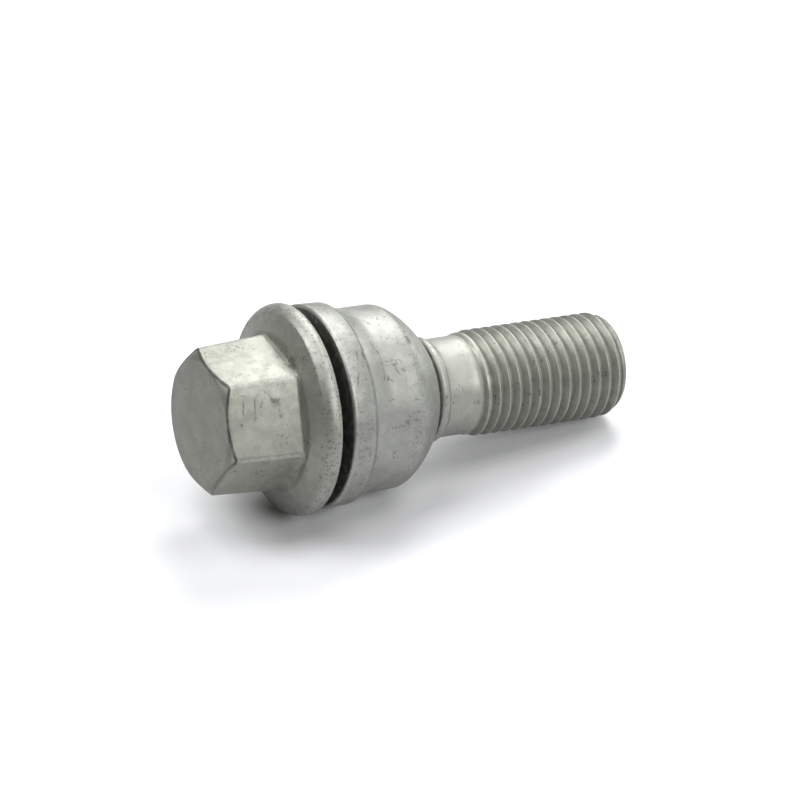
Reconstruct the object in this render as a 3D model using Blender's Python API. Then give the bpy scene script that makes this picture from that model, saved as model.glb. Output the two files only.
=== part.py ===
"""Wheel bolt with a loose ball-seat collar, in metres, +Z up.

The bolt stands on its hexagon head. The origin is the centre of the head's end face, and +Z runs
along the bolt's axis to the tip of the thread. It is two pieces:

bolt              one forging: hexagon, round flange, plain shank, bead and rolled thread
ball_seat_collar  a loose turned ring that spins on the shank, held between flange and bead
"""
import math

import bmesh
import bpy
from mathutils import Matrix

MM = 0.001

# Hexagon head
HEX_HEIGHT = 10.4 * MM
HEX_END_FLATS = 16.6 * MM
HEX_BASE_FLATS = 17.65 * MM
HEX_END_FACE_RADIUS = 8.1 * MM
HEX_CHAMFER_ANGLE = math.radians(30)
HEX_ROOT_FILLET = 0.6 * MM
HEX_EDGE_ROUND = 0.4 * MM

# Flange: its front is a shallow cone, then an edge, a bevel and a round
FLANGE_RADIUS = 13.8 * MM
FLANGE_LEDGE = 0.1 * MM
FLANGE_CONE_HEIGHT = 1.0 * MM
FLANGE_EDGE_INSET = 0.7 * MM
FLANGE_THICKNESS = 2.3 * MM
FLANGE_BEVEL_ANGLE = math.radians(45)
FLANGE_FRONT_ROUND = 0.8 * MM
FLANGE_BACK_ROUND = 0.7 * MM

# Shank, and the bead that keeps the collar on it
SHANK_RADIUS = 6.5 * MM
SHANK_FILLET = 0.9 * MM
BEAD_RADIUS = 7.0 * MM
BEAD_LENGTH = 1.5 * MM
SHANK_RUN = 4.0 * MM

# Metric thread, 14 mm across with a 1.5 mm pitch
THREAD_RADIUS = 7.0 * MM
THREAD_PITCH = 1.5 * MM
THREAD_DEPTH = 0.92 * MM
THREAD_CREST_FLAT = 0.22 * MM
THREAD_FLANK_ANGLE = math.radians(30)
THREAD_LENGTH = 23.2 * MM
THREAD_RUN_IN = 2.4 * MM
THREAD_PHASE = 0.95 * MM
GROOVE_START = 0.7 * MM
TIP_FACE_RADIUS = 5.0 * MM
TIP_ROUND_LENGTH = 3.6 * MM

# Ball-seat collar
COLLAR_GAP = 1.75 * MM
COLLAR_LENGTH = 15.8 * MM
BALL_RADIUS = 14.0 * MM
BARREL_INSET = 1.95 * MM
BARREL_EDGE_ROUND = 2.2 * MM
LIP_RISE = 1.25 * MM
LIP_LENGTH = 3.3 * MM
LIP_ROUND = 0.38 * MM
LIP_TAPER = 0.1 * MM
STEP_DEPTH = 0.4 * MM
STEP_LENGTH = 0.25 * MM
WAIST_LENGTH = 3.0 * MM
BORE_CHAMFER = 0.5 * MM
MOUTH_LAND = 0.12 * MM

# Fits
SHANK_CLEARANCE = 0.35 * MM
BEAD_CLEARANCE = 0.3 * MM

# Facets
BOLT_SEGMENTS = 40
COLLAR_SEGMENTS = 48
HEX_SIDES = 6
FILLET_STEPS = 3
ROUND_STEPS = 4
EDGE_STEPS = 2
SWEEP_STEPS = 6
BALL_STEPS = 9
SHARP_ANGLE = math.radians(28)

# Zinc flake coating: colour, roughness and metallic share
BOLT_COLOUR = (0.42, 0.43, 0.40)
BOLT_ROUGHNESS = 0.5
COLLAR_COLOUR = (0.46, 0.47, 0.44)
COLLAR_ROUGHNESS = 0.45
METALLIC = 0.7

# Making
WELD = 0.002 * MM
CUT_MARGIN = 0.3 * MM

# Heights along the axis, from the head's end face
flange_edge = HEX_HEIGHT + FLANGE_CONE_HEIGHT
flange_back = flange_edge + FLANGE_THICKNESS
collar_front = flange_back + COLLAR_GAP
collar_back = collar_front + COLLAR_LENGTH
bead_start = collar_back + BEAD_CLEARANCE
bead_end = bead_start + BEAD_LENGTH
thread_start = bead_end + SHANK_RUN
thread_full = thread_start + THREAD_RUN_IN
bolt_length = thread_start + THREAD_LENGTH

# Radii that follow from others
flats_to_corner = 0.5 / math.cos(math.pi / HEX_SIDES)
hex_end_corner = HEX_END_FLATS * flats_to_corner
hex_base_corner = HEX_BASE_FLATS * flats_to_corner
bore_radius = SHANK_RADIUS + SHANK_CLEARANCE
thread_root_radius = THREAD_RADIUS - THREAD_DEPTH
barrel_radius = BALL_RADIUS - BARREL_INSET
lip_radius = barrel_radius + LIP_RISE


def clear_scene():
    for item in list(bpy.data.objects):
        bpy.data.objects.remove(item, do_unlink=True)


def metal(name, colour, roughness):
    material = bpy.data.materials.new(name)
    material.use_nodes = True
    shader = material.node_tree.nodes["Principled BSDF"]
    shader.inputs["Base Color"].default_value = (*colour, 1.0)
    shader.inputs["Roughness"].default_value = roughness
    shader.inputs["Metallic"].default_value = METALLIC
    return material


def arc(centre, radius, start, end, steps):
    """Points on a circle arc in the (radius, height) plane, angles in degrees."""
    points = []
    for i in range(steps + 1):
        angle = math.radians(start + (end - start) * i / steps)
        points.append((centre[0] + radius * math.cos(angle), centre[1] + radius * math.sin(angle)))
    return points


def close_up(bm):
    """Weld what meets, drop what the weld flattened, and point every face outwards."""
    bmesh.ops.remove_doubles(bm, verts=bm.verts, dist=WELD)
    bmesh.ops.dissolve_degenerate(bm, edges=bm.edges, dist=WELD)
    bmesh.ops.recalc_face_normals(bm, faces=bm.faces)


def to_object(bm, name):
    mesh = bpy.data.meshes.new(name)
    bm.to_mesh(mesh)
    bm.free()
    part = bpy.data.objects.new(name, mesh)
    bpy.context.collection.objects.link(part)
    return part


def dress(part, material):
    part.data.materials.clear()
    part.data.materials.append(material)
    part.data.shade_smooth()
    part.data.set_sharp_from_angle(angle=SHARP_ANGLE)


def turned(name, outline, segments, ring=False):
    """Spin an outline of (radius, height) points about Z. A ring's outline closes on itself."""
    bm = bmesh.new()
    verts = [bm.verts.new((radius, 0.0, height)) for radius, height in outline]
    pairs = list(zip(verts, verts[1:]))
    if ring:
        pairs.append((verts[-1], verts[0]))
    edges = [bm.edges.new(pair) for pair in pairs]
    bmesh.ops.spin(bm, geom=verts + edges, cent=(0, 0, 0), axis=(0, 0, 1), angle=math.tau,
                   steps=segments, use_merge=True)
    close_up(bm)
    return to_object(bm, name)


def combine(target, tool, operation):
    """Apply a Boolean to target and delete the tool."""
    step = target.modifiers.new(operation.lower(), "BOOLEAN")
    step.operation = operation
    step.solver = "EXACT"
    step.object = tool
    bpy.context.view_layer.update()
    evaluated = target.evaluated_get(bpy.context.evaluated_depsgraph_get())
    mesh = bpy.data.meshes.new_from_object(evaluated)
    target.modifiers.remove(step)
    target.data = mesh
    bpy.data.objects.remove(tool, do_unlink=True)


def round_long_edges(part):
    """Round the six edges that run the length of a hexagon, which all lie away from its axis."""
    bm = bmesh.new()
    bm.from_mesh(part.data)
    edges = []
    for edge in bm.edges:
        turned_by = [math.atan2(vert.co.y, vert.co.x) for vert in edge.verts]
        off_axis = min(math.hypot(vert.co.x, vert.co.y) for vert in edge.verts) > WELD
        rises = abs(edge.verts[0].co.z - edge.verts[1].co.z) > WELD
        if off_axis and rises and abs(turned_by[0] - turned_by[1]) < math.radians(1):
            edges.append(edge)
    bmesh.ops.bevel(bm, geom=edges, offset=HEX_EDGE_ROUND, offset_type="OFFSET", segments=EDGE_STEPS,
                    profile=0.5, affect="EDGES", clamp_overlap=True)
    close_up(bm)
    bm.to_mesh(part.data)
    bm.free()


def hexagon_head():
    """A hexagon with forging draft and a flared root, turned round at its end and its root."""
    flare_radius = hex_base_corner + HEX_ROOT_FILLET
    inside_flange = HEX_HEIGHT + 0.5 * FLANGE_THICKNESS
    outline = [(0.0, 0.0), (hex_end_corner, 0.0)]
    outline += arc((flare_radius, HEX_HEIGHT - HEX_ROOT_FILLET), HEX_ROOT_FILLET, 180, 90, FILLET_STEPS)
    outline += [(flare_radius, inside_flange), (0.0, inside_flange)]
    head = turned("hexagon", outline, HEX_SIDES)
    round_long_edges(head)

    # The root flares between the corners only: it is turned off at the radius of the corners.
    chamfer_height = (hex_base_corner - HEX_END_FACE_RADIUS) * math.tan(HEX_CHAMFER_ANGLE)
    turning = [
        (0.0, 0.0),
        (HEX_END_FACE_RADIUS, 0.0),
        (hex_base_corner, chamfer_height),
        (hex_base_corner, flange_back),
        (0.0, flange_back),
    ]
    combine(head, turned("end_turning", turning, BOLT_SEGMENTS), "INTERSECT")
    return head


def bead_arc():
    """The bead's round back, an arc over its length that stands proud of the shank."""
    proud = BEAD_RADIUS - SHANK_RADIUS
    half = 0.5 * BEAD_LENGTH
    radius = (proud ** 2 + half ** 2) / (2 * proud)
    spread = math.degrees(math.asin(half / radius))
    return arc((BEAD_RADIUS - radius, bead_start + half), radius, -spread, spread, SWEEP_STEPS)


def flange_and_shank():
    """The round forging: flange, shank, bead, and the core that fills the first thread grooves."""
    bevel_turn = math.degrees(FLANGE_BEVEL_ANGLE)
    bevel_depth = FLANGE_EDGE_INSET - FLANGE_FRONT_ROUND * (1 - math.cos(FLANGE_BEVEL_ANGLE))
    bevel_end = flange_edge + bevel_depth / math.tan(FLANGE_BEVEL_ANGLE)
    front_centre = bevel_end + FLANGE_FRONT_ROUND * math.sin(FLANGE_BEVEL_ANGLE)
    front = (FLANGE_RADIUS - FLANGE_FRONT_ROUND, front_centre)
    back = (FLANGE_RADIUS - FLANGE_BACK_ROUND, flange_back - FLANGE_BACK_ROUND)
    root = (SHANK_RADIUS + SHANK_FILLET, flange_back + SHANK_FILLET)
    core_radius = thread_root_radius - 0.5 * CUT_MARGIN
    core_end = thread_full + THREAD_PITCH
    outline = [
        (0.0, HEX_HEIGHT),
        (hex_base_corner + FLANGE_LEDGE, HEX_HEIGHT),
        (FLANGE_RADIUS - FLANGE_EDGE_INSET, flange_edge),
    ]
    outline += arc(front, FLANGE_FRONT_ROUND, -bevel_turn, 0, FILLET_STEPS)
    outline += arc(back, FLANGE_BACK_ROUND, 0, 90, ROUND_STEPS)
    outline += arc(root, SHANK_FILLET, -90, -180, FILLET_STEPS)
    outline += bead_arc()
    outline += [
        (SHANK_RADIUS, thread_start + GROOVE_START),
        (core_radius, thread_full),
        (core_radius, core_end),
        (0.0, core_end),
    ]
    return turned("round_body", outline, BOLT_SEGMENTS)


def cut_flat(bm, height, outwards):
    """Cut the open mesh square to the axis at a height, drop what lies outwards and close the cut."""
    geometry = list(bm.verts) + list(bm.edges) + list(bm.faces)
    bmesh.ops.bisect_plane(bm, geom=geometry, dist=WELD, plane_co=(0, 0, height),
                           plane_no=(0, 0, outwards), clear_outer=True)
    rim = []
    for edge in bm.edges:
        level = all(abs(vert.co.z - height) < WELD for vert in edge.verts)
        if edge.is_boundary and level:
            rim.append(edge)
    bmesh.ops.edgeloop_fill(bm, edges=rim)


def thread_sweep():
    """One pitch of the thread's section, swept up a right-hand helix and cut square at both ends."""
    flank = THREAD_DEPTH * math.tan(THREAD_FLANK_ANGLE)
    root_half = 0.5 * (THREAD_PITCH - THREAD_CREST_FLAT) - flank
    section = [
        (thread_root_radius, 0.0),
        (thread_root_radius, root_half),
        (THREAD_RADIUS, root_half + flank),
        (THREAD_RADIUS, root_half + flank + THREAD_CREST_FLAT),
        (thread_root_radius, THREAD_PITCH - root_half),
        (thread_root_radius, THREAD_PITCH),
    ]
    # At the angle of +X a groove is centred this far above the hexagon, give or take whole pitches.
    first_groove = HEX_HEIGHT + THREAD_PHASE
    pitches_below = math.floor((thread_start - first_groove) / THREAD_PITCH) - 2
    base = first_groove + pitches_below * THREAD_PITCH
    turns = math.ceil((bolt_length - base) / THREAD_PITCH) + 1
    bm = bmesh.new()
    verts = [bm.verts.new((radius, 0.0, base + height)) for radius, height in section]
    edges = [bm.edges.new(pair) for pair in zip(verts, verts[1:])]
    bmesh.ops.spin(bm, geom=verts + edges, cent=(0, 0, 0), axis=(0, 0, 1), angle=math.tau * turns,
                   steps=BOLT_SEGMENTS * turns, dvec=(0, 0, THREAD_PITCH / BOLT_SEGMENTS))
    bmesh.ops.remove_doubles(bm, verts=bm.verts, dist=WELD)
    cut_flat(bm, thread_start - 2 * CUT_MARGIN, -1)
    cut_flat(bm, bolt_length + CUT_MARGIN, 1)
    close_up(bm)
    return to_object(bm, "thread")


def thread():
    """The swept thread, its crests growing out of the shank and its tip rounded off."""
    sweep = thread_sweep()
    clear_radius = THREAD_RADIUS + 0.5 * CUT_MARGIN
    round_start = bolt_length - TIP_ROUND_LENGTH
    outline = [
        (0.0, thread_start - CUT_MARGIN),
        (SHANK_RADIUS - CUT_MARGIN, thread_start - CUT_MARGIN),
        (clear_radius, thread_full),
        (clear_radius, round_start),
    ]
    for i in range(1, SWEEP_STEPS + 1):
        angle = 0.5 * math.pi * i / SWEEP_STEPS
        radius = TIP_FACE_RADIUS + (clear_radius - TIP_FACE_RADIUS) * math.cos(angle)
        outline.append((radius, round_start + TIP_ROUND_LENGTH * math.sin(angle)))
    outline.append((0.0, bolt_length))
    combine(sweep, turned("thread_limits", outline, BOLT_SEGMENTS), "INTERSECT")
    return sweep


def make_bolt(material):
    bolt = flange_and_shank()
    combine(bolt, hexagon_head(), "UNION")
    combine(bolt, thread(), "UNION")
    bm = bmesh.new()
    bm.from_mesh(bolt.data)
    close_up(bm)
    bm.to_mesh(bolt.data)
    bm.free()
    bolt.name = "bolt"
    dress(bolt, material)


def collar_outline():
    """The collar's section as (radius, height) points, height 0 at its front face."""
    outline = [(bore_radius, BORE_CHAMFER), (bore_radius + BORE_CHAMFER, 0.0)]
    outline += arc((lip_radius - LIP_ROUND, LIP_ROUND), LIP_ROUND, -90, 0, ROUND_STEPS)
    outline.append((lip_radius - LIP_TAPER, LIP_LENGTH))

    waist_start = LIP_LENGTH + STEP_LENGTH
    waist_radius = lip_radius - LIP_TAPER - STEP_DEPTH
    for i in range(SWEEP_STEPS + 1):
        angle = 0.5 * math.pi * i / SWEEP_STEPS
        radius = waist_radius + (barrel_radius - waist_radius) * math.sin(angle)
        outline.append((radius, waist_start + WAIST_LENGTH * i / SWEEP_STEPS))

    # The round between barrel and ball touches both, so its centre lies its own radius inside each.
    mouth_radius = bore_radius + MOUTH_LAND
    ball_centre = COLLAR_LENGTH - math.sqrt(BALL_RADIUS ** 2 - mouth_radius ** 2)
    edge_centre_radius = barrel_radius - BARREL_EDGE_ROUND
    edge_rise = math.sqrt((BALL_RADIUS - BARREL_EDGE_ROUND) ** 2 - edge_centre_radius ** 2)
    meets = math.degrees(math.atan2(edge_rise, edge_centre_radius))
    mouth = math.degrees(math.acos(mouth_radius / BALL_RADIUS))
    edge = arc((edge_centre_radius, ball_centre + edge_rise), BARREL_EDGE_ROUND, 0, meets, ROUND_STEPS)
    ball = arc((0.0, ball_centre), BALL_RADIUS, meets, mouth, BALL_STEPS)
    outline += edge + ball[1:]
    outline.append((bore_radius, COLLAR_LENGTH))
    return outline


def make_collar(material):
    """The collar on its own axis: an empty at its front face, on the line that it spins about."""
    axis = bpy.data.objects.new("collar_axis", None)
    bpy.context.collection.objects.link(axis)
    axis.matrix_world = Matrix.Translation((0.0, 0.0, collar_front))
    collar = turned("ball_seat_collar", collar_outline(), COLLAR_SEGMENTS, ring=True)
    dress(collar, material)
    collar.parent = axis


def main():
    clear_scene()
    make_bolt(metal("bolt_coating", BOLT_COLOUR, BOLT_ROUGHNESS))
    make_collar(metal("collar_coating", COLLAR_COLOUR, COLLAR_ROUGHNESS))


main()
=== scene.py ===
# %% [markdown]
# # A wheel bolt with a loose ball-seat collar
#
# The real thing is two pieces of steel in a matt grey zinc coating. The bolt is one forging with a
# rolled thread, and the collar is a turned ring that spins on its shank. The frame gives both as
# plain solids. This lesson models each again with a finer surface, coats them, and sets up a table,
# a soft light and a camera. The bolt stands on its head in the frame, and the picture shows it lying
# on a table, so here the table is a steep plane beside it and the camera is turned with the table.

# %% Load the frame
import math

import bmesh
import bpy
from mathutils import Matrix, Vector


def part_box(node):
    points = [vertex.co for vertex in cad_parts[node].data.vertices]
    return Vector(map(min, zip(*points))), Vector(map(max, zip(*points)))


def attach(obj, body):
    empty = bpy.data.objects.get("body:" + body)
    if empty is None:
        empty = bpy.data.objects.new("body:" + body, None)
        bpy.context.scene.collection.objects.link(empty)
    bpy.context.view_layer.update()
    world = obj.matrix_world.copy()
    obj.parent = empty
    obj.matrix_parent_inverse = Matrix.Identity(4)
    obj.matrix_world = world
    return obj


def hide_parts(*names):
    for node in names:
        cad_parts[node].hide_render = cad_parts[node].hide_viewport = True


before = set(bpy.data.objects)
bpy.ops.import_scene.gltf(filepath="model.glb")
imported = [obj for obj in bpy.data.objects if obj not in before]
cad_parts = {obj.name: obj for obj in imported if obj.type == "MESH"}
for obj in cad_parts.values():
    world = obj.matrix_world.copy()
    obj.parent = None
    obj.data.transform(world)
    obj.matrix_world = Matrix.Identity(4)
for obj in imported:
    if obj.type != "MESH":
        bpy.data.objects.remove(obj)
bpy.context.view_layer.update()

# %% [markdown]
# The sizes come first. What the frame can tell is read from it: the length of the bolt, the radius of
# the flange, and where the collar starts and ends. The rest repeats the drawing's own sizes, with what
# follows from them worked out, so the new surface lies on the old one. Only two roundings are softer
# than in the solid, because the real ones are: the front of the flange's rim, which is one arc here,
# and the long edges of the hexagon.

# %% Sizes
MM = 0.001

bolt_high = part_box("bolt")[1]
collar_low, collar_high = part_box("ball_seat_collar")
BOLT_LENGTH = bolt_high[2]
FLANGE_RADIUS = bolt_high[0]
COLLAR_FRONT = collar_low[2]
COLLAR_LENGTH = collar_high[2] - collar_low[2]
LIP_RADIUS = collar_high[0]

HEX_HEIGHT = 10.4 * MM
HEX_END_FLATS = 16.6 * MM
HEX_BASE_FLATS = 17.65 * MM
HEX_END_FACE_RADIUS = 8.1 * MM
HEX_CHAMFER_ANGLE = math.radians(30)
HEX_ROOT_FILLET = 0.6 * MM
HEX_EDGE_ROUND = 0.5 * MM
HEX_RIM_BEVEL = 0.11 * MM
FLANGE_LEDGE = 0.1 * MM
FLANGE_CONE_HEIGHT = 1.0 * MM
FLANGE_EDGE_INSET = 0.7 * MM
FLANGE_THICKNESS = 2.3 * MM
FLANGE_FRONT_TURN = 50  # degrees from the rim to the edge of the cone
FLANGE_BACK_ROUND = 0.7 * MM

SHANK_RADIUS = 6.5 * MM
SHANK_FILLET = 0.9 * MM
BEAD_RADIUS = 7.0 * MM
BEAD_LENGTH = 1.5 * MM
BEAD_CLEARANCE = 0.3 * MM
THREAD_RADIUS = 7.0 * MM
THREAD_PITCH = 1.5 * MM
THREAD_DEPTH = 0.92 * MM
THREAD_CREST_FLAT = 0.22 * MM
THREAD_LENGTH = 23.2 * MM
THREAD_RUN_IN = 2.4 * MM
GROOVE_START = 0.7 * MM
TIP_FACE_RADIUS = 5.0 * MM
TIP_ROUND_LENGTH = 3.6 * MM

BALL_RADIUS = 14.0 * MM
BARREL_RADIUS = 12.05 * MM
BARREL_EDGE_ROUND = 2.2 * MM
LIP_LENGTH = 3.3 * MM
LIP_ROUND = 0.38 * MM
LIP_TAPER = 0.1 * MM
STEP_DEPTH = 0.4 * MM
STEP_LENGTH = 0.25 * MM
WAIST_LENGTH = 3.0 * MM
BORE_CHAMFER = 0.5 * MM
MOUTH_LAND = 0.12 * MM
SHANK_CLEARANCE = 0.35 * MM

TURNING_SEGMENTS = 192
SMOOTH_UP_TO = math.radians(32)

flats_to_corner = 0.5 / math.cos(math.pi / 6)
hex_end_corner = HEX_END_FLATS * flats_to_corner
hex_base_corner = HEX_BASE_FLATS * flats_to_corner
flange_edge = HEX_HEIGHT + FLANGE_CONE_HEIGHT
flange_back = flange_edge + FLANGE_THICKNESS
bead_start = COLLAR_FRONT + COLLAR_LENGTH + BEAD_CLEARANCE
thread_start = BOLT_LENGTH - THREAD_LENGTH
thread_root = THREAD_RADIUS - THREAD_DEPTH
bore_radius = SHANK_RADIUS + SHANK_CLEARANCE
print("thread from", round(thread_start / MM, 2), "to", round(BOLT_LENGTH / MM, 2), "mm")

# %% [markdown]
# The camera. The picture was taken from fairly far away with a long lens: the thread hardly gets
# smaller towards its tip. Three angles place the camera: how far the bolt's axis dips away from the
# picture plane, which side of the hexagon faces it, and how steeply the axis climbs in the picture.

# %% Camera
LENS = 225.0
SENSOR = 36.0
CAMERA_DISTANCE = 650 * MM
AIM = Vector((0.9 * MM, -0.1 * MM, 29.0 * MM))
VIEW_AZIMUTH = math.radians(83.57)
VIEW_DIP = math.radians(27.43)
AXIS_CLIMB = math.radians(8.49)

forward = Vector((math.cos(VIEW_DIP) * math.cos(VIEW_AZIMUTH), math.cos(VIEW_DIP) * math.sin(VIEW_AZIMUTH),
                  math.sin(VIEW_DIP)))
axis = Vector((0, 0, 1))
axis_in_picture = (axis - axis.dot(forward) * forward).normalized()
right = Matrix.Rotation(AXIS_CLIMB, 3, forward) @ axis_in_picture
up = right.cross(forward)

camera_data = bpy.data.cameras.new("camera")
camera_data.lens = LENS
camera_data.sensor_width = SENSOR
camera = bpy.data.objects.new("camera", camera_data)
bpy.context.collection.objects.link(camera)
turn = Matrix((right, up, -forward)).transposed().to_4x4()
camera.matrix_world = Matrix.Translation(AIM - CAMERA_DISTANCE * forward) @ turn
bpy.context.scene.camera = camera
print("camera right", [round(v, 3) for v in right], "up", [round(v, 3) for v in up])

# %% [markdown]
# Helpers for modelling by hand. `only` puts one object in hand and drops the rest. `draw_section` draws
# a section as a chain of edges, from one point that is extruded again and again, which is how a
# turner's template is drawn, and `arc` gives the points of a round stretch of it. `turn_section` spins
# a section about the bolt's axis into a solid, and `tidy_shell` welds its seam and points its faces
# outwards. `report` prints how many triangles a piece has and whether its skin is closed.

# %% Helpers for modelling
def only(piece):
    if bpy.context.object and bpy.context.object.mode != "OBJECT":
        bpy.ops.object.mode_set(mode="OBJECT")
    bpy.ops.object.select_all(action="DESELECT")
    piece.select_set(True)
    bpy.context.view_layer.objects.active = piece


def arc(centre, radius, start, end, steps):
    points = []
    for i in range(steps + 1):
        angle = math.radians(start + (end - start) * i / steps)
        points.append((centre[0] + radius * math.cos(angle), centre[1] + radius * math.sin(angle)))
    return points


def draw_section(name, points):
    bpy.ops.object.select_all(action="DESELECT")
    bpy.ops.mesh.primitive_plane_add(size=MM, location=(0, 0, 0))
    piece = bpy.context.object
    piece.name = name
    piece.data.name = name
    bpy.ops.object.mode_set(mode="EDIT")
    bpy.ops.mesh.select_mode(type="VERT")
    bpy.ops.mesh.merge(type="CENTER")
    bpy.ops.transform.translate(value=(points[0][0], 0, points[0][1]))
    for (r0, z0), (r1, z1) in zip(points, points[1:]):
        bpy.ops.mesh.extrude_region_move(TRANSFORM_OT_translate={"value": (r1 - r0, 0, z1 - z0)})
    return piece


def tidy_shell(piece, weld=0.0005 * MM):
    only(piece)
    bpy.ops.object.mode_set(mode="EDIT")
    bpy.ops.mesh.select_mode(type="VERT")
    bpy.ops.mesh.select_all(action="SELECT")
    bpy.ops.mesh.remove_doubles(threshold=weld)
    bpy.ops.mesh.dissolve_degenerate(threshold=weld)
    bpy.ops.mesh.select_all(action="SELECT")
    bpy.ops.mesh.normals_make_consistent(inside=False)
    bpy.ops.object.mode_set(mode="OBJECT")


def turn_section(name, points, segments, closed=False):
    piece = draw_section(name, points)
    if closed:
        bpy.ops.mesh.select_all(action="SELECT")
        ends = bmesh.from_edit_mesh(piece.data)
        ends.verts.ensure_lookup_table()
        for vert in ends.verts:
            vert.select_set(len(vert.link_edges) == 1)
        ends.select_flush_mode()
        bmesh.update_edit_mesh(piece.data)
        bpy.ops.mesh.edge_face_add()
    bpy.ops.mesh.select_all(action="SELECT")
    bpy.ops.mesh.spin(steps=segments, angle=math.tau, center=(0, 0, 0), axis=(0, 0, 1))
    bpy.ops.object.mode_set(mode="OBJECT")
    tidy_shell(piece)
    return piece


def apply_modifier(piece, kind, **settings):
    step = piece.modifiers.new(kind.lower(), kind)
    for key, value in settings.items():
        setattr(step, key, value)
    only(piece)
    bpy.ops.object.modifier_apply(modifier=step.name)


def open_edges(piece):
    shell = bmesh.new()
    shell.from_mesh(piece.data)
    count = sum(1 for edge in shell.edges if not edge.is_manifold)
    shell.free()
    return count


def report(piece):
    triangles = sum(len(face.vertices) - 2 for face in piece.data.polygons)
    print(piece.name, triangles, "triangles,", open_edges(piece), "open edges")


# %% [markdown]
# The rolled thread. On the real bolt two dies press it into the blank, so its crests are a little
# round and the grooves deepen over the first turn and a half. One pitch of the section is drawn and
# the Screw modifier sweeps it up the helix. Its vertices are then held between two limits, the outer
# one for the crests and the tip, the inner one for the filled start of the grooves.

# %% Thread section
RING_LEVEL = 0.001 * MM
THREAD_SEGMENTS = 128
GROOVE_PHASE = 0.95 * MM
FLANK_ANGLE = math.radians(30)


def thread_section():
    """Half a groove, a rounded crest and half a groove, as (radius, height) over one pitch."""
    flank = THREAD_DEPTH * math.tan(FLANK_ANGLE)
    crest = 0.5 * THREAD_PITCH
    crest_edge = crest - 0.5 * THREAD_CREST_FLAT
    root_edge = crest_edge - flank
    half = [
        (thread_root, 0.0),
        (thread_root + 0.02 * MM, 0.6 * root_edge),
        (thread_root + 0.1 * MM, root_edge + 0.02 * MM),
        (thread_root + 0.22 * MM, root_edge + 0.22 * MM * math.tan(FLANK_ANGLE)),
        (THREAD_RADIUS - 0.14 * MM, crest_edge - 0.14 * MM * math.tan(FLANK_ANGLE)),
        (THREAD_RADIUS - 0.045 * MM, crest_edge),
        (THREAD_RADIUS - 0.01 * MM, crest_edge + 0.3 * THREAD_CREST_FLAT),
    ]
    other = [(radius, THREAD_PITCH - height) for radius, height in reversed(half)]
    return half + other


def outer_limit(height):
    grow = (height - thread_start) / THREAD_RUN_IN
    limit = SHANK_RADIUS + (THREAD_RADIUS - SHANK_RADIUS) * min(1.0, max(0.0, grow))
    into_tip = (height - (BOLT_LENGTH - TIP_ROUND_LENGTH)) / TIP_ROUND_LENGTH
    if into_tip > 0:
        tip_reach = THREAD_RADIUS + 0.15 * MM - TIP_FACE_RADIUS
        limit = min(limit, TIP_FACE_RADIUS + tip_reach * math.sqrt(max(0.0, 1 - into_tip ** 2)))
    return limit


def inner_limit(height):
    open_up = (height - thread_start - GROOVE_START) / (THREAD_RUN_IN - GROOVE_START)
    return SHANK_RADIUS - (SHANK_RADIUS - thread_root) * min(1.0, max(0.0, open_up))


# %% Sweep the thread
def sweep_thread():
    below = math.floor((thread_start - HEX_HEIGHT) / THREAD_PITCH) - 2
    base = HEX_HEIGHT + GROOVE_PHASE + below * THREAD_PITCH
    turns = math.ceil((BOLT_LENGTH - base) / THREAD_PITCH) + 1
    thread = draw_section("bolt_surface", [(radius, base + height) for radius, height in thread_section()])
    bpy.ops.object.mode_set(mode="OBJECT")
    apply_modifier(thread, "SCREW", axis="Z", angle=math.tau, screw_offset=THREAD_PITCH, iterations=turns,
                   steps=THREAD_SEGMENTS, render_steps=THREAD_SEGMENTS, use_merge_vertices=True,
                   merge_threshold=0.0005 * MM)
    tidy_shell(thread)
    return thread


def cut_square(piece, height, radius, keep_above):
    only(piece)
    bpy.ops.object.mode_set(mode="EDIT")
    bpy.ops.mesh.select_all(action="SELECT")
    bpy.ops.mesh.bisect(plane_co=(0, 0, height), plane_no=(0, 0, 1), clear_inner=keep_above,
                        clear_outer=not keep_above, threshold=0.0002 * MM)
    bpy.ops.object.mode_set(mode="OBJECT")
    for vert in piece.data.vertices:
        if abs(vert.co.z - height) < RING_LEVEL:
            factor = radius / math.hypot(vert.co.x, vert.co.y)
            vert.co.x *= factor
            vert.co.y *= factor


bolt = sweep_thread()
for vert in bolt.data.vertices:
    radius = math.hypot(vert.co.x, vert.co.y)
    held = max(min(radius, outer_limit(vert.co.z)), min(inner_limit(vert.co.z), outer_limit(vert.co.z)))
    vert.co.x *= held / radius
    vert.co.y *= held / radius
cut_square(bolt, thread_start, SHANK_RADIUS, True)
cut_square(bolt, BOLT_LENGTH, TIP_FACE_RADIUS, False)
print("thread swept:", len(bolt.data.vertices), "points")

# %% [markdown]
# The shank, the bead and the flange grow out of the thread's first ring. Its edge loop is extruded
# ring by ring down the rest of the section, each ring scaled to its radius about the axis. The loop
# at the tip is inset and filled. This way the whole round body is one skin with no seam.

# %% Extrude the round body
def select_rim(piece, height):
    bpy.ops.object.mode_set(mode="EDIT")
    bpy.ops.mesh.select_mode(type="EDGE")
    bpy.ops.mesh.select_all(action="DESELECT")
    shell = bmesh.from_edit_mesh(piece.data)
    for edge in shell.edges:
        level = all(abs(vert.co.z - height) < RING_LEVEL for vert in edge.verts)
        edge.select_set(edge.is_boundary and level)
    bmesh.update_edit_mesh(piece.data)


def extrude_rings(piece, first, points):
    radius, height = first
    for next_radius, next_height in points:
        bpy.ops.mesh.extrude_region_move(TRANSFORM_OT_translate={"value": (0, 0, next_height - height)})
        factor = next_radius / radius
        bpy.ops.transform.resize(value=(factor, factor, 1), center_override=(0, 0, next_height))
        radius, height = next_radius, next_height


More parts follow.
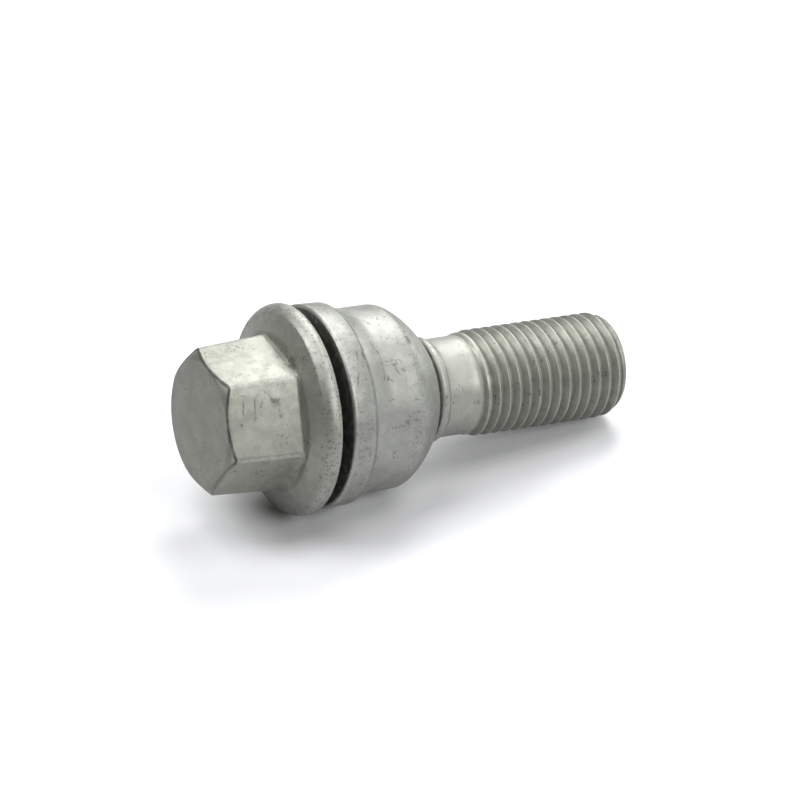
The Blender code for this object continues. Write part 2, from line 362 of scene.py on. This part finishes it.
def round_body_section():
    """From the start of the thread down to the middle of the flange's front face."""
    proud = BEAD_RADIUS - SHANK_RADIUS
    half = 0.5 * BEAD_LENGTH
    bead_round = (proud ** 2 + half ** 2) / (2 * proud)
    spread = math.degrees(math.asin(half / bead_round))
    blend = 0.35 * MM
    section = [(SHANK_RADIUS, thread_start - share * MM) for share in (1.0, 2.0, 3.0)]
    section.append((SHANK_RADIUS, bead_start + BEAD_LENGTH + blend))
    section.append((SHANK_RADIUS + 0.03 * MM, bead_start + BEAD_LENGTH + 0.3 * blend))
    bead_centre = (BEAD_RADIUS - bead_round, bead_start + half)
    section += arc(bead_centre, bead_round, spread * 0.85, -spread * 0.92, 12)
    section.append((SHANK_RADIUS, bead_start - 0.05 * MM))
    section.append((SHANK_RADIUS, bead_start - 2 * MM))
    root = (SHANK_RADIUS + SHANK_FILLET, flange_back + SHANK_FILLET)
    section += arc(root, SHANK_FILLET, -180, -90, 6)
    back = (FLANGE_RADIUS - FLANGE_BACK_ROUND, flange_back - FLANGE_BACK_ROUND)
    section += arc(back, FLANGE_BACK_ROUND, 90, 0, 8)
    edge = (FLANGE_RADIUS - FLANGE_EDGE_INSET, flange_edge)
    turn = math.radians(FLANGE_FRONT_TURN)
    front_round = FLANGE_EDGE_INSET / (1 - math.cos(turn))
    front = (FLANGE_RADIUS - front_round, flange_edge + front_round * math.sin(turn))
    # The arc stops just short of the cone, and one point softens the edge between them.
    section += arc(front, front_round, 0, -0.93 * FLANGE_FRONT_TURN, 12)
    soften = 0.03 * MM
    section.append((edge[0] + soften, edge[1] + soften))
    ledge = (hex_base_corner + FLANGE_LEDGE, HEX_HEIGHT)
    slope = (edge[1] - ledge[1]) / (edge[0] - ledge[0])
    for inwards in (0.03, 0.09, 0.18, 1.2, 2.4):
        section.append((edge[0] - inwards * MM, edge[1] - slope * inwards * MM))
    section.append(ledge)
    return section


select_rim(bolt, thread_start)
extrude_rings(bolt, (SHANK_RADIUS, thread_start), round_body_section())
bpy.ops.mesh.edge_face_add()
bpy.ops.object.mode_set(mode="OBJECT")
select_rim(bolt, BOLT_LENGTH)
extrude_rings(bolt, (TIP_FACE_RADIUS, BOLT_LENGTH), [(TIP_FACE_RADIUS - 0.5 * MM, BOLT_LENGTH)])
bpy.ops.mesh.edge_face_add()
bpy.ops.object.mode_set(mode="OBJECT")
tidy_shell(bolt)
report(bolt)

# %% [markdown]
# The hexagon head. A six-sided cylinder is a start: its base is scaled up for the forging draft, its
# six long edges are bevelled round, and its base is flared in small steps into the flange. Its end is
# then turned off with a blunt cone, as on a lathe, which leaves the round face and the curved corners,
# and its root is turned off at the radius of the corners, so the flare shows between them only.

# %% Hexagon
HEX_SIDES = 6
FLARE_STEPS = 6


def select_level(piece, height):
    bpy.ops.object.mode_set(mode="EDIT")
    bpy.ops.mesh.select_mode(type="FACE")
    bpy.ops.mesh.select_all(action="DESELECT")
    shell = bmesh.from_edit_mesh(piece.data)
    for face in shell.faces:
        face.select_set(all(abs(vert.co.z - height) < RING_LEVEL for vert in face.verts))
    bmesh.update_edit_mesh(piece.data)


def make_hexagon():
    flare_start = HEX_HEIGHT - HEX_ROOT_FILLET
    bpy.ops.object.select_all(action="DESELECT")
    bpy.ops.mesh.primitive_cylinder_add(vertices=HEX_SIDES, radius=hex_end_corner, depth=flare_start,
                                        location=(0, 0, 0.5 * flare_start),
                                        rotation=(0, 0, math.pi / HEX_SIDES))
    hexagon = bpy.context.object
    hexagon.name = "hexagon"
    bpy.ops.object.transform_apply(location=True, rotation=True, scale=True)
    select_level(hexagon, flare_start)
    draft = hex_base_corner / hex_end_corner
    bpy.ops.transform.resize(value=(draft, draft, 1), center_override=(0, 0, flare_start))

    bpy.ops.mesh.select_mode(type="EDGE")
    bpy.ops.mesh.select_all(action="DESELECT")
    shell = bmesh.from_edit_mesh(hexagon.data)
    for edge in shell.edges:
        drop = abs(edge.verts[0].co.z - edge.verts[1].co.z)
        edge.select_set(drop > 0.5 * flare_start)
    bmesh.update_edit_mesh(hexagon.data)
    bpy.ops.mesh.bevel(offset=HEX_EDGE_ROUND, segments=5, affect="EDGES")

    select_level(hexagon, flare_start)
    reach, height = hex_base_corner, flare_start
    for i in range(1, FLARE_STEPS + 1):
        angle = 0.5 * math.pi * i / FLARE_STEPS
        next_reach = hex_base_corner + HEX_ROOT_FILLET * (1 - math.cos(angle))
        next_height = flare_start + HEX_ROOT_FILLET * math.sin(angle)
        bpy.ops.mesh.extrude_region_move(TRANSFORM_OT_translate={"value": (0, 0, next_height - height)})
        factor = next_reach / reach
        bpy.ops.transform.resize(value=(factor, factor, 1), center_override=(0, 0, next_height))
        reach, height = next_reach, next_height
    bpy.ops.mesh.extrude_region_move(TRANSFORM_OT_translate={"value": (0, 0, 0.5 * FLANGE_THICKNESS)})
    bpy.ops.object.mode_set(mode="OBJECT")
    return hexagon


def turn_off(piece, name, section):
    turning = turn_section(name, section, TURNING_SEGMENTS)
    apply_modifier(piece, "BOOLEAN", operation="INTERSECT", solver="EXACT", object=turning)
    bpy.data.objects.remove(turning, do_unlink=True)
    tidy_shell(piece)


hexagon = make_hexagon()
reach = FLANGE_RADIUS
chamfer_height = (reach - HEX_END_FACE_RADIUS) * math.tan(HEX_CHAMFER_ANGLE)
turn_off(hexagon, "end_turning", [(0, flange_back), (reach, flange_back), (reach, chamfer_height),
                                  (HEX_END_FACE_RADIUS, 0), (0, 0)])
apply_modifier(hexagon, "BEVEL", width=HEX_RIM_BEVEL, segments=2, limit_method="ANGLE",
               angle_limit=math.radians(24), use_clamp_overlap=True, harden_normals=False)
below = -1 * MM
turn_off(hexagon, "root_turning", [(0, flange_back), (hex_base_corner, flange_back), (hex_base_corner, below),
                                   (0, below)])
report(hexagon)

# %% [markdown]
# Head and body are one forging, so they become one skin. A union keeps what is outside of both and
# leaves no face inside, which a mere join of two meshes would. Faces are then shaded smooth wherever
# they meet at a small angle, so the turned rounds look round and the corners of the hexagon stay crisp.

# %% Join head and body
apply_modifier(bolt, "BOOLEAN", operation="UNION", solver="EXACT", object=hexagon)
bpy.data.objects.remove(hexagon, do_unlink=True)
tidy_shell(bolt)
only(bolt)
bpy.ops.object.shade_smooth_by_angle(angle=SMOOTH_UP_TO)
report(bolt)

# %% [markdown]
# The collar is a turned part, so its section is drawn once and spun. Going round it: the flat front
# that faces the flange, the raised lip with a fine step behind it, the waist, the short barrel, the
# ball that centres the wheel, and the bore. The bolt can be seen to be loose in it at the mouth.

# %% Collar
WAIST_STEPS = 14


def collar_section():
    """Round the collar from the bore's front edge to its rear edge, as (radius, height)."""
    section = [(bore_radius, BORE_CHAMFER), (bore_radius + BORE_CHAMFER, 0.0)]
    section += arc((LIP_RADIUS - LIP_ROUND, LIP_ROUND), LIP_ROUND, -90, 0, 8)
    step_edge = 0.12 * MM
    section.append((LIP_RADIUS - LIP_TAPER, LIP_LENGTH - step_edge))
    waist_start = LIP_LENGTH + STEP_LENGTH
    waist_radius = LIP_RADIUS - LIP_TAPER - STEP_DEPTH
    section.append((LIP_RADIUS - LIP_TAPER - 0.3 * step_edge, LIP_LENGTH))
    section.append((waist_radius + 0.4 * step_edge, waist_start - 0.6 * step_edge))
    for i in range(1, WAIST_STEPS + 1):
        angle = 0.5 * math.pi * i / WAIST_STEPS
        radius = waist_radius + (BARREL_RADIUS - waist_radius) * math.sin(angle)
        section.append((radius, waist_start + WAIST_LENGTH * i / WAIST_STEPS))

    mouth_radius = bore_radius + MOUTH_LAND
    ball_centre = COLLAR_LENGTH - math.sqrt(BALL_RADIUS ** 2 - mouth_radius ** 2)
    edge_centre_radius = BARREL_RADIUS - BARREL_EDGE_ROUND
    edge_rise = math.sqrt((BALL_RADIUS - BARREL_EDGE_ROUND) ** 2 - edge_centre_radius ** 2)
    meets = math.degrees(math.atan2(edge_rise, edge_centre_radius))
    mouth = math.degrees(math.acos(mouth_radius / BALL_RADIUS))
    edge = arc((edge_centre_radius, ball_centre + edge_rise), BARREL_EDGE_ROUND, 0, meets, 8)
    ball = arc((0.0, ball_centre), BALL_RADIUS, meets, mouth, 22)
    section += edge + ball[1:]
    section.append((bore_radius, COLLAR_LENGTH))
    return [(radius, COLLAR_FRONT + height) for radius, height in section]


collar = turn_section("collar_surface", collar_section(), TURNING_SEGMENTS, closed=True)
only(collar)
bpy.ops.object.shade_smooth_by_angle(angle=SMOOTH_UP_TO)
report(collar)

# %% [markdown]
# The coating is a matt mix of zinc and aluminium flakes, dipped and baked on. It dries in soft clouds
# from one to several millimetres wide, over the slightly uneven skin of the forging. Shade is painted
# on, dark and in blotches, where it falls: in the thread's grooves, round the root of the hexagon, along
# the cone at its end, at the collar's mouth and behind the bead, along the step behind the collar's lip,
# and deep in the gap in front of the collar. What is rubbed is bright: the long edges of the hexagon,
# the rim of the flange, the front edge of the collar and the crests of the thread; on the rim and the
# crests this is also a painted highlight, strong on the upper side and weak below. The end of the head
# and the collar's ball are painted darker in blotches, as painted shade, the shank is a little paler,
# and small pits and scratches lie in groups on both pieces, as tools and handling leave them. Small
# functions make one kind each, `coating` lays them over each other, and its arguments say where each
# kind sits. Every pattern reads object coordinates, so it stays put on the metal.

# %% Helpers for materials
class Nodes:
    def __init__(self, material):
        material.use_nodes = True
        self.tree = material.node_tree
        self.tree.nodes.clear()

    def add(self, kind, inputs=None, **settings):
        node = self.tree.nodes.new(kind)
        for key, value in settings.items():
            setattr(node, key, value)
        for key, value in (inputs or {}).items():
            self.feed(node.inputs[key], value)
        return node

    def feed(self, socket, value):
        if isinstance(value, bpy.types.NodeSocket):
            self.tree.links.new(value, socket)
        else:
            socket.default_value = value

    def math(self, operation, a, b=0.0):
        return self.add("ShaderNodeMath", {0: a, 1: b}, operation=operation).outputs[0]

    def most(self, values):
        top = values[0]
        for value in values[1:]:
            top = self.math("MAXIMUM", top, value)
        return top

    def noise(self, vector, scale, detail=3.0, roughness=0.55):
        node = self.add("ShaderNodeTexNoise", {"Vector": vector, "Scale": scale, "Detail": detail,
                                               "Roughness": roughness})
        return node.outputs["Fac"]

    def band(self, value, low, high, to_low=0.0, to_high=1.0):
        node = self.add("ShaderNodeMapRange", {"Value": value, "From Min": low, "From Max": high,
                                               "To Min": to_low, "To Max": to_high})
        node.clamp = True
        node.interpolation_type = "SMOOTHSTEP"
        return node.outputs["Result"]

    def window(self, value, low, high, soft):
        """1 from low to high, fading to 0 over soft on both sides."""
        rise = self.band(value, low - soft, low)
        return self.math("MULTIPLY", rise, self.band(value, high, high + soft, 1, 0))

    def blend(self, factor, a, b):
        node = self.add("ShaderNodeMix", data_type="RGBA")
        for key, value in ((0, factor), (6, a), (7, b)):
            self.feed(node.inputs[key], value)
        return node.outputs[2]

    def near(self, position, centre, reach):
        """1 at a point on the surface, fading to 0 at its reach."""
        distance = self.add("ShaderNodeVectorMath", {0: position, 1: centre}, operation="DISTANCE")
        return self.band(distance.outputs["Value"], 0.6 * reach, reach, 1, 0)


def shade(colour, factor):
    return tuple(factor * value for value in colour[:3]) + (1.0,)


# %% Clouds, and rings of wear and of painted light
# Painted shade: a near-black laid where shade falls, in the gap, the grooves and the creases.
PAINTED_SHADE_COLOUR = (0.035, 0.036, 0.028, 1)
PALE = (0.58, 0.58, 0.55, 1)
PATCH_SCALE, SHADE_BLOTCH_SCALE, CLOUD_SCALE, FLAKE_SCALE = 150.0, 330.0, 640.0, 2400.0


def zinc_clouds(n, position, colour):
    clouds = n.band(n.noise(position, CLOUD_SCALE, 5.0, 0.62), 0.36, 0.64)
    patches = n.band(n.noise(position, PATCH_SCALE, 2.0, 0.5), 0.35, 0.65)
    flakes = n.noise(position, FLAKE_SCALE, 3.0, 0.6)
    shown = n.blend(clouds, shade(colour, 0.86), shade(colour, 1.08))
    shown = n.blend(n.math("MULTIPLY", patches, 0.2), shown, shade(colour, 1.14))
    return n.blend(n.band(flakes, 0.35, 0.65, 0.0, 0.16), shown, shade(colour, 0.8))


def ring(n, radius, height, low, high, inner, outer, soft, strength):
    """A band round the axis, in mm: its strength inside, fading to 0 over soft."""
    across = n.window(radius, inner * MM, outer * MM, soft * MM)
    along = n.window(height, low * MM, high * MM, soft * MM)
    return n.math("MULTIPLY", n.math("MULTIPLY", across, along), strength)


# %% Pits and scratches
def small_pits(n, position, speckled):
    """Pits lie everywhere in clusters, and close together where the surface is speckled."""
    pit_noise = n.noise(position, 2500.0, 2.0, 0.5)
    clusters = n.band(n.noise(position, 520.0, 2.0, 0.5), 0.52, 0.66, 0.0, 0.8)
    speckled = n.math("MAXIMUM", speckled, clusters)
    depth = n.math("SUBTRACT", pit_noise, n.math("MULTIPLY", speckled, 0.085))
    return n.math("MULTIPLY", n.band(depth, 0.315, 0.35, 1.0, 0.0), speckled)


def single_scratches(n, position, scuffed):
    """Noise drawn out round the body leaves long single strokes where it passes its middle value."""
    drawn_out = n.add("ShaderNodeVectorMath", {0: position, 1: (0.22, 0.22, 1.0)}, operation="MULTIPLY")
    wander = n.noise(drawn_out.outputs["Vector"], 620.0, 1.0, 0.4)
    strokes = n.band(n.math("ABSOLUTE", n.math("SUBTRACT", wander, 0.5)), 0.01, 0.034, 1, 0)
    broken = n.band(n.noise(position, 1900.0, 2.0), 0.38, 0.5, 0.0, 1.0)
    return n.math("MULTIPLY", n.math("MULTIPLY", strokes, scuffed), broken)


# %% Wear and painted light of the hexagon
def hexagon_wear_and_painted_light(n, x, y, radius, height, painted_shade, rubbed_and_highlight):
    """Rubs the long edges bright, paints a highlight on the upper side of the rings, and paints shade as a
    dark line along the turned cone.
    """
    turn = n.math("PINGPONG", n.math("ARCTAN2", y, x), math.pi / HEX_SIDES)
    edge_line = n.band(n.math("MULTIPLY", turn, radius), 0.14 * MM, 0.36 * MM, 1, 0)
    long_edges = n.math("MULTIPLY", edge_line, ring(n, radius, height, 0.9, 9.6, 9.2, 10.4, 0.2, 0.8))
    # Painted highlight: the rubbed rings are full on the upper side, towards the lamps, and a fifth below.
    highlight_side = n.band(x, -9.0 * MM, 2.0 * MM, 1.0, 0.2)
    rubbed_and_highlight = n.math("MAXIMUM", n.math("MULTIPLY", rubbed_and_highlight, highlight_side), long_edges)

    # Painted shade: a dark line along the turned cone at the end, weaker on the lower side.
    to_side = n.math("MULTIPLY", radius, n.math("COSINE", n.math("SUBTRACT", math.pi / HEX_SIDES, turn)))
    side = 0.5 * HEX_END_FLATS
    along_side = n.window(to_side, side - 0.22 * MM, side + 0.1 * MM, 0.12 * MM)
    past_face = n.math("SUBTRACT", radius, HEX_END_FACE_RADIUS)
    cone = n.math("MULTIPLY", past_face, math.tan(HEX_CHAMFER_ANGLE))
    above_cone = n.math("SUBTRACT", height, n.math("MAXIMUM", cone, 0.0))
    on_cone = n.band(above_cone, 0.06 * MM, 0.16 * MM, 0.85, 0.0)
    fading = n.band(x, 4.6 * MM, 6.0 * MM, 1.0, 0.35)
    dark_line = n.math("MULTIPLY", n.math("MULTIPLY", along_side, on_cone), fading)
    return n.math("MAXIMUM", painted_shade, dark_line), rubbed_and_highlight


# %% Coating
def uneven_skin(n, position, marks):
    skin = n.noise(position, 620.0, 4.0, 0.6)
    grain = n.noise(position, 4200.0, 2.0, 0.6)
    relief = n.math("ADD", n.math("MULTIPLY", skin, 0.5), n.math("MULTIPLY", grain, 0.16))
    relief = n.math("SUBTRACT", relief, n.math("MULTIPLY", marks, 0.12))
    bump = n.add("ShaderNodeBump", {"Height": relief, "Strength": 0.5, "Distance": 0.12 * MM})
    return bump.outputs["Normal"]


def coating(name, colour, rough, rings, scuffs, on_hexagon):
    """Each ring is (lowest, highest, inner, outer, soft, strength), each scuff ((x, y, z), reach), in mm."""
    material = bpy.data.materials.new(name)
    n = Nodes(material)
    position = n.add("ShaderNodeTexCoord").outputs["Object"]
    part = n.add("ShaderNodeSeparateXYZ", {"Vector": position}).outputs
    x, y, height = part["X"], part["Y"], part["Z"]
    radius = n.math("SQRT", n.math("ADD", n.math("MULTIPLY", x, x), n.math("MULTIPLY", y, y)))

    def where(kind):
        return n.most([ring(n, radius, height, *entry) for entry in rings[kind]])

    shown = n.blend(where("pale"), zinc_clouds(n, position, colour), PALE)
    # Painted shade in blotches, on the end of the head and on the collar's ball.
    shade_blotches = n.band(n.noise(position, SHADE_BLOTCH_SCALE, 5.0, 0.65), 0.35, 0.62, 0.35, 1.0)
    shown = n.blend(n.math("MULTIPLY", where("blotchy_shade"), shade_blotches), shown, shade(colour, 0.45))

    spots = [n.near(position, tuple(v * MM for v in centre), reach * MM) for centre, reach in scuffs]
    scuffed = n.most(spots)
    pits = small_pits(n, position, where("speckled"))
    marks = n.math("MAXIMUM", single_scratches(n, position, scuffed), pits)
    shown = n.blend(n.math("MULTIPLY", scuffed, 0.3), shown, shade(colour, 0.78))
    shown = n.blend(n.math("MULTIPLY", marks, 0.68), shown, shade(colour, 0.28))

    painted_shade, rubbed_and_highlight = where("painted_shade"), where("rubbed_and_highlight")
    if on_hexagon:
        painted_shade, rubbed_and_highlight = hexagon_wear_and_painted_light(n, x, y, radius, height, painted_shade, rubbed_and_highlight)
    # Rubbed places are painted pale: wear, and on the bolt's rim and crests a painted highlight as well.
    rubbed_and_highlight = n.math("MULTIPLY", rubbed_and_highlight, n.band(n.noise(position, 1400.0, 2.0), 0.4, 0.58, 0.25, 1.0))
    shown = n.blend(n.math("MULTIPLY", rubbed_and_highlight, 0.7), shown, PALE)
    # Painted shade, in blotches: the places above are darkened towards that near-black.
    shade_strength = n.math("MULTIPLY", painted_shade, n.band(n.noise(position, 900.0, 3.0), 0.3, 0.55, 0.55, 1.0))
    shown = n.blend(shade_strength, shown, PAINTED_SHADE_COLOUR)

    rough_now = n.band(n.noise(position, 800.0, 3.0), 0.35, 0.65, rough - 0.03, rough + 0.04)
    # Where shade is painted the coating stops being metal.
    metallic = n.band(shade_strength, 0.0, 1.0, 0.75, 0.0)
    shader = n.add("ShaderNodeBsdfPrincipled", {"Base Color": shown, "Metallic": metallic,
                                                "Roughness": rough_now,
                                                "Normal": uneven_skin(n, position, marks)})
    n.add("ShaderNodeOutputMaterial", {"Surface": shader.outputs["BSDF"]})
    print(name, "has", len(n.tree.nodes), "nodes")
    return material


# %% [markdown]
# Where the wear and the painted light sit, piece by piece. The flange has painted shade behind it and is
# speckled and rubbed on its rim, with a painted highlight there, the grooves of the thread have a little
# painted shade, and the plain shank is paler. The collar has painted shade in front, where it faces the
# flange, and along the fine step behind its lip. The frame's own nodes get the same coatings, so that
# any view of them has the right colour.

# %% Coat both pieces
BOLT_COLOUR = (0.375, 0.385, 0.335, 1)
COLLAR_COLOUR = (0.385, 0.395, 0.363, 1)

bolt_rings = {
    # Painted shade: root of the hexagon, gap behind the flange, collar's mouth, far side of the bead,
    # thread's grooves.
    "painted_shade": [(10.3, 10.5, 9.9, 10.3, 0.3, 0.15), (13.6, 15.3, 0.0, 13.3, 0.3, 0.9),
              (31.0, 31.7, 0.0, 7.2, 0.15, 0.8), (33.0, 33.12, 0.0, 6.8, 0.12, 0.4),
              (37.6, 60.3, 0.0, 6.3, 0.3, 0.12)],
    # Painted shade in blotches on the end of the head.
    "blotchy_shade": [(-0.2, 0.4, 0.0, 8.6, 0.3, 0.42)],
    "speckled": [(11.3, 13.6, 12.8, 14.0, 0.3, 0.75)],
    "pale": [(10.6, 11.4, 10.4, 13.0, 0.3, 0.12), (11.7, 13.5, 12.9, 14.0, 0.3, 0.2),
             (31.5, 37.8, 0.0, 7.4, 0.6, 0.3), (38.6, 58.0, 0.0, 7.4, 1.5, 0.12)],
    # Rim and thread crests: wear, and a painted highlight on the upper side.
    "rubbed_and_highlight": [(11.4, 12.2, 13.0, 13.8, 0.25, 0.7), (38.5, 60.3, 6.93, 7.2, 0.05, 0.3)],
}
bolt_scuffs = [((-1.5, -8.65, 3.4), 1.9), ((-1.2, -8.65, 6.2), 2.1), ((1.0, -8.65, 1.8), 1.2),
               ((6.2, -2.7, 0.1), 1.8), ((-7.9, -4.6, 10.6), 1.8), ((-5.9, -7.3, 10.6), 1.8),
               ((8.4, -10.7, 12.6), 2.0)]
collar_rings = {
    # Painted shade: the front face towards the flange, and the step behind the lip.
    "painted_shade": [(15.3, 15.5, 0.0, 12.8, 0.2, 0.9), (18.66, 19.0, 12.0, 13.6, 0.22, 0.42)],
    # Painted shade in blotches on the ball.
    "blotchy_shade": [(26.6, 31.3, 0.0, 12.2, 0.5, 0.15)],
    "speckled": [(24.9, 26.4, 11.0, 12.6, 0.5, 0.6), (15.6, 18.0, 12.9, 13.6, 0.2, 0.55)],
    "pale": [(19.0, 26.0, 11.5, 12.7, 1.0, 0.15)],
    "rubbed_and_highlight": [(15.4, 15.9, 12.9, 13.4, 0.2, 0.6)],
}
collar_scuffs = [((-7.4, -10.1, 21.0), 1.5), ((-4.6, -11.5, 21.8), 2.2), ((-7.7, -9.2, 25.6), 1.3),
                 ((-6.4, -11.5, 18.0), 1.4), ((-3.7, -12.7, 17.6), 1.5), ((-0.3, -13.2, 16.8), 1.1)]
bolt_coating = coating("bolt_coating", BOLT_COLOUR, 0.5, bolt_rings, bolt_scuffs, True)
collar_coating = coating("collar_coating", COLLAR_COLOUR, 0.48, collar_rings, collar_scuffs, False)
bolt.data.materials.append(bolt_coating)
collar.data.materials.append(collar_coating)
for name, material in (("bolt", bolt_coating), ("ball_seat_collar", collar_coating)):
    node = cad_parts[name]
    node.data.materials.clear()
    node.data.materials.append(material)

# %% [markdown]
# Each new surface takes the place of its solid and rides the same body, so the collar and its wear turn
# together when the joint turns.

# %% Ride and replace
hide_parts("bolt")
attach(bolt, "bolt")
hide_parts("ball_seat_collar")
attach(collar, "collar")
print(bolt.name, "rides the bolt,", collar.name, "rides the collar")

# %% [markdown]
# The table. In the picture the bolt lies on a white surface, on the rim of its flange and the edge of
# its tip. Here that surface is a plane turned with the camera: its upward direction leans back from
# the picture plane by the height that the camera looks down from. It shows from above only, so it
# never stands in front of the bolt in a view from the other side, and it thins out towards its edge,
# so it runs into the white background with no line. Shadow rays pass it, as through milky acrylic.

# %% Table
LOOK_DOWN = math.radians(34.1)
TABLE_SIZE = 0.8
TABLE_CLEAR = 0.17
TABLE_END = 0.34
SEEN_WHITE = (0.92, 0.925, 0.945, 1)
BOUNCED_WHITE = (0.6, 0.6, 0.62, 1)
table_up = (math.cos(LOOK_DOWN) * up - math.sin(LOOK_DOWN) * forward).normalized()
across = math.hypot(table_up.x, table_up.y)
rim_touch = (flange_back - FLANGE_BACK_ROUND) * table_up.z - FLANGE_RADIUS * across
tip_touch = (BOLT_LENGTH - TIP_ROUND_LENGTH) * table_up.z - THREAD_RADIUS * across
table_level = min(rim_touch, tip_touch)
print("flange touches at", round(rim_touch / MM, 2), "tip at", round(tip_touch / MM, 2), "mm")


def white_surface(name, seen, bounce):
    material = bpy.data.materials.new(name)
    n = Nodes(material)
    ray = n.add("ShaderNodeLightPath").outputs
    colour = n.blend(ray["Is Camera Ray"], bounce, seen)
    matt = n.add("ShaderNodeBsdfDiffuse", {"Color": colour})
    clear = n.add("ShaderNodeBsdfTransparent")
    back = n.add("ShaderNodeNewGeometry").outputs["Backfacing"]
    position = n.add("ShaderNodeTexCoord").outputs["Object"]
    from_middle = n.add("ShaderNodeVectorMath", {0: position}, operation="LENGTH").outputs["Value"]
    thinning = n.band(from_middle, TABLE_CLEAR, TABLE_END)
    seen_through = n.most([back, thinning, ray["Is Shadow Ray"]])
    mix = n.add("ShaderNodeMixShader", {0: seen_through, 1: matt.outputs[0], 2: clear.outputs[0]})
    n.add("ShaderNodeOutputMaterial", {"Surface": mix.outputs[0]})
    return material


def add_table(centre, material):
    bpy.ops.object.select_all(action="DESELECT")
    bpy.ops.mesh.primitive_plane_add(size=TABLE_SIZE, location=centre,
                                     rotation=table_up.to_track_quat("Z", "Y").to_euler())
    table = bpy.context.object
    table.name = "table"
    table.data.materials.append(material)


middle = Vector((0, 0, 0.5 * BOLT_LENGTH))
table_centre = middle + (table_level - middle.dot(table_up)) * table_up
add_table(table_centre, white_surface("table_white", SEEN_WHITE, BOUNCED_WHITE))

# %% [markdown]
# The light. A small product is shot in a tent of soft boxes, so nothing is lit by a point and no
# highlight burns out. Nine round lamps stand for it here, all at one distance: those over and behind
# the bolt give its bright upper side and the shadow towards the camera, and the low ones on the right
# brighten the thread's end. The table throws some back, and a weak lamp below it, as in a light
# table, keeps the underside from going black. The world lights nothing and is white to the camera
# only, so the table runs out into a white background, and the metal mirrors the lamps and the table.

# %% Light
LAMP_DISTANCE = 0.6
LAMP_SIZE = 0.3

table_far = (forward - forward.dot(table_up) * table_up).normalized()
table_side = (right - right.dot(table_up) * table_up).normalized()
lamps = [
    ("overhead", 75, 180, 0.85),
    ("high_right", 62, 0, 0.95),
    ("half_far", 50, 75, 1.6),
    ("half_left", 45, 180, 1.5),
    ("half_near_right", 35, 315, 1.42),
    ("half_low_far", 35, 90, 0.8),
    ("low_right", 12, 0, 0.36),
    ("low_far_right", 12, 45, 0.85),
    ("under_table", -70, 270, 0.16),
]


def add_lamp(name, rise, turn, watts):
    """Rise is the angle above the table, turn the angle round it from the right, in degrees."""
    rise, turn = math.radians(rise), math.radians(turn)
    level_way = math.cos(turn) * table_side + math.sin(turn) * table_far
    way = math.sin(rise) * table_up + math.cos(rise) * level_way
    data = bpy.data.lights.new(name, "AREA")
    data.shape = "DISK"
    data.size = LAMP_SIZE
    data.energy = watts
    lamp = bpy.data.objects.new(name, data)
    bpy.context.collection.objects.link(lamp)
    lamp.location = middle + LAMP_DISTANCE * way
    lamp.rotation_euler = way.to_track_quat("Z", "Y").to_euler()


for lamp in lamps:
    add_lamp(*lamp)
print(len(lamps), "lamps,", round(sum(lamp[3] for lamp in lamps), 2), "watts in all")

world = bpy.data.worlds.new("studio")
bpy.context.scene.world = world
w = Nodes(world)
camera_ray = w.add("ShaderNodeLightPath").outputs["Is Camera Ray"]
background = w.add("ShaderNodeBackground", {"Color": (1, 1, 1, 1), "Strength": camera_ray})
w.add("ShaderNodeOutputWorld", {"Surface": background.outputs[0]})

bpy.context.scene.view_settings.view_transform = "Standard"
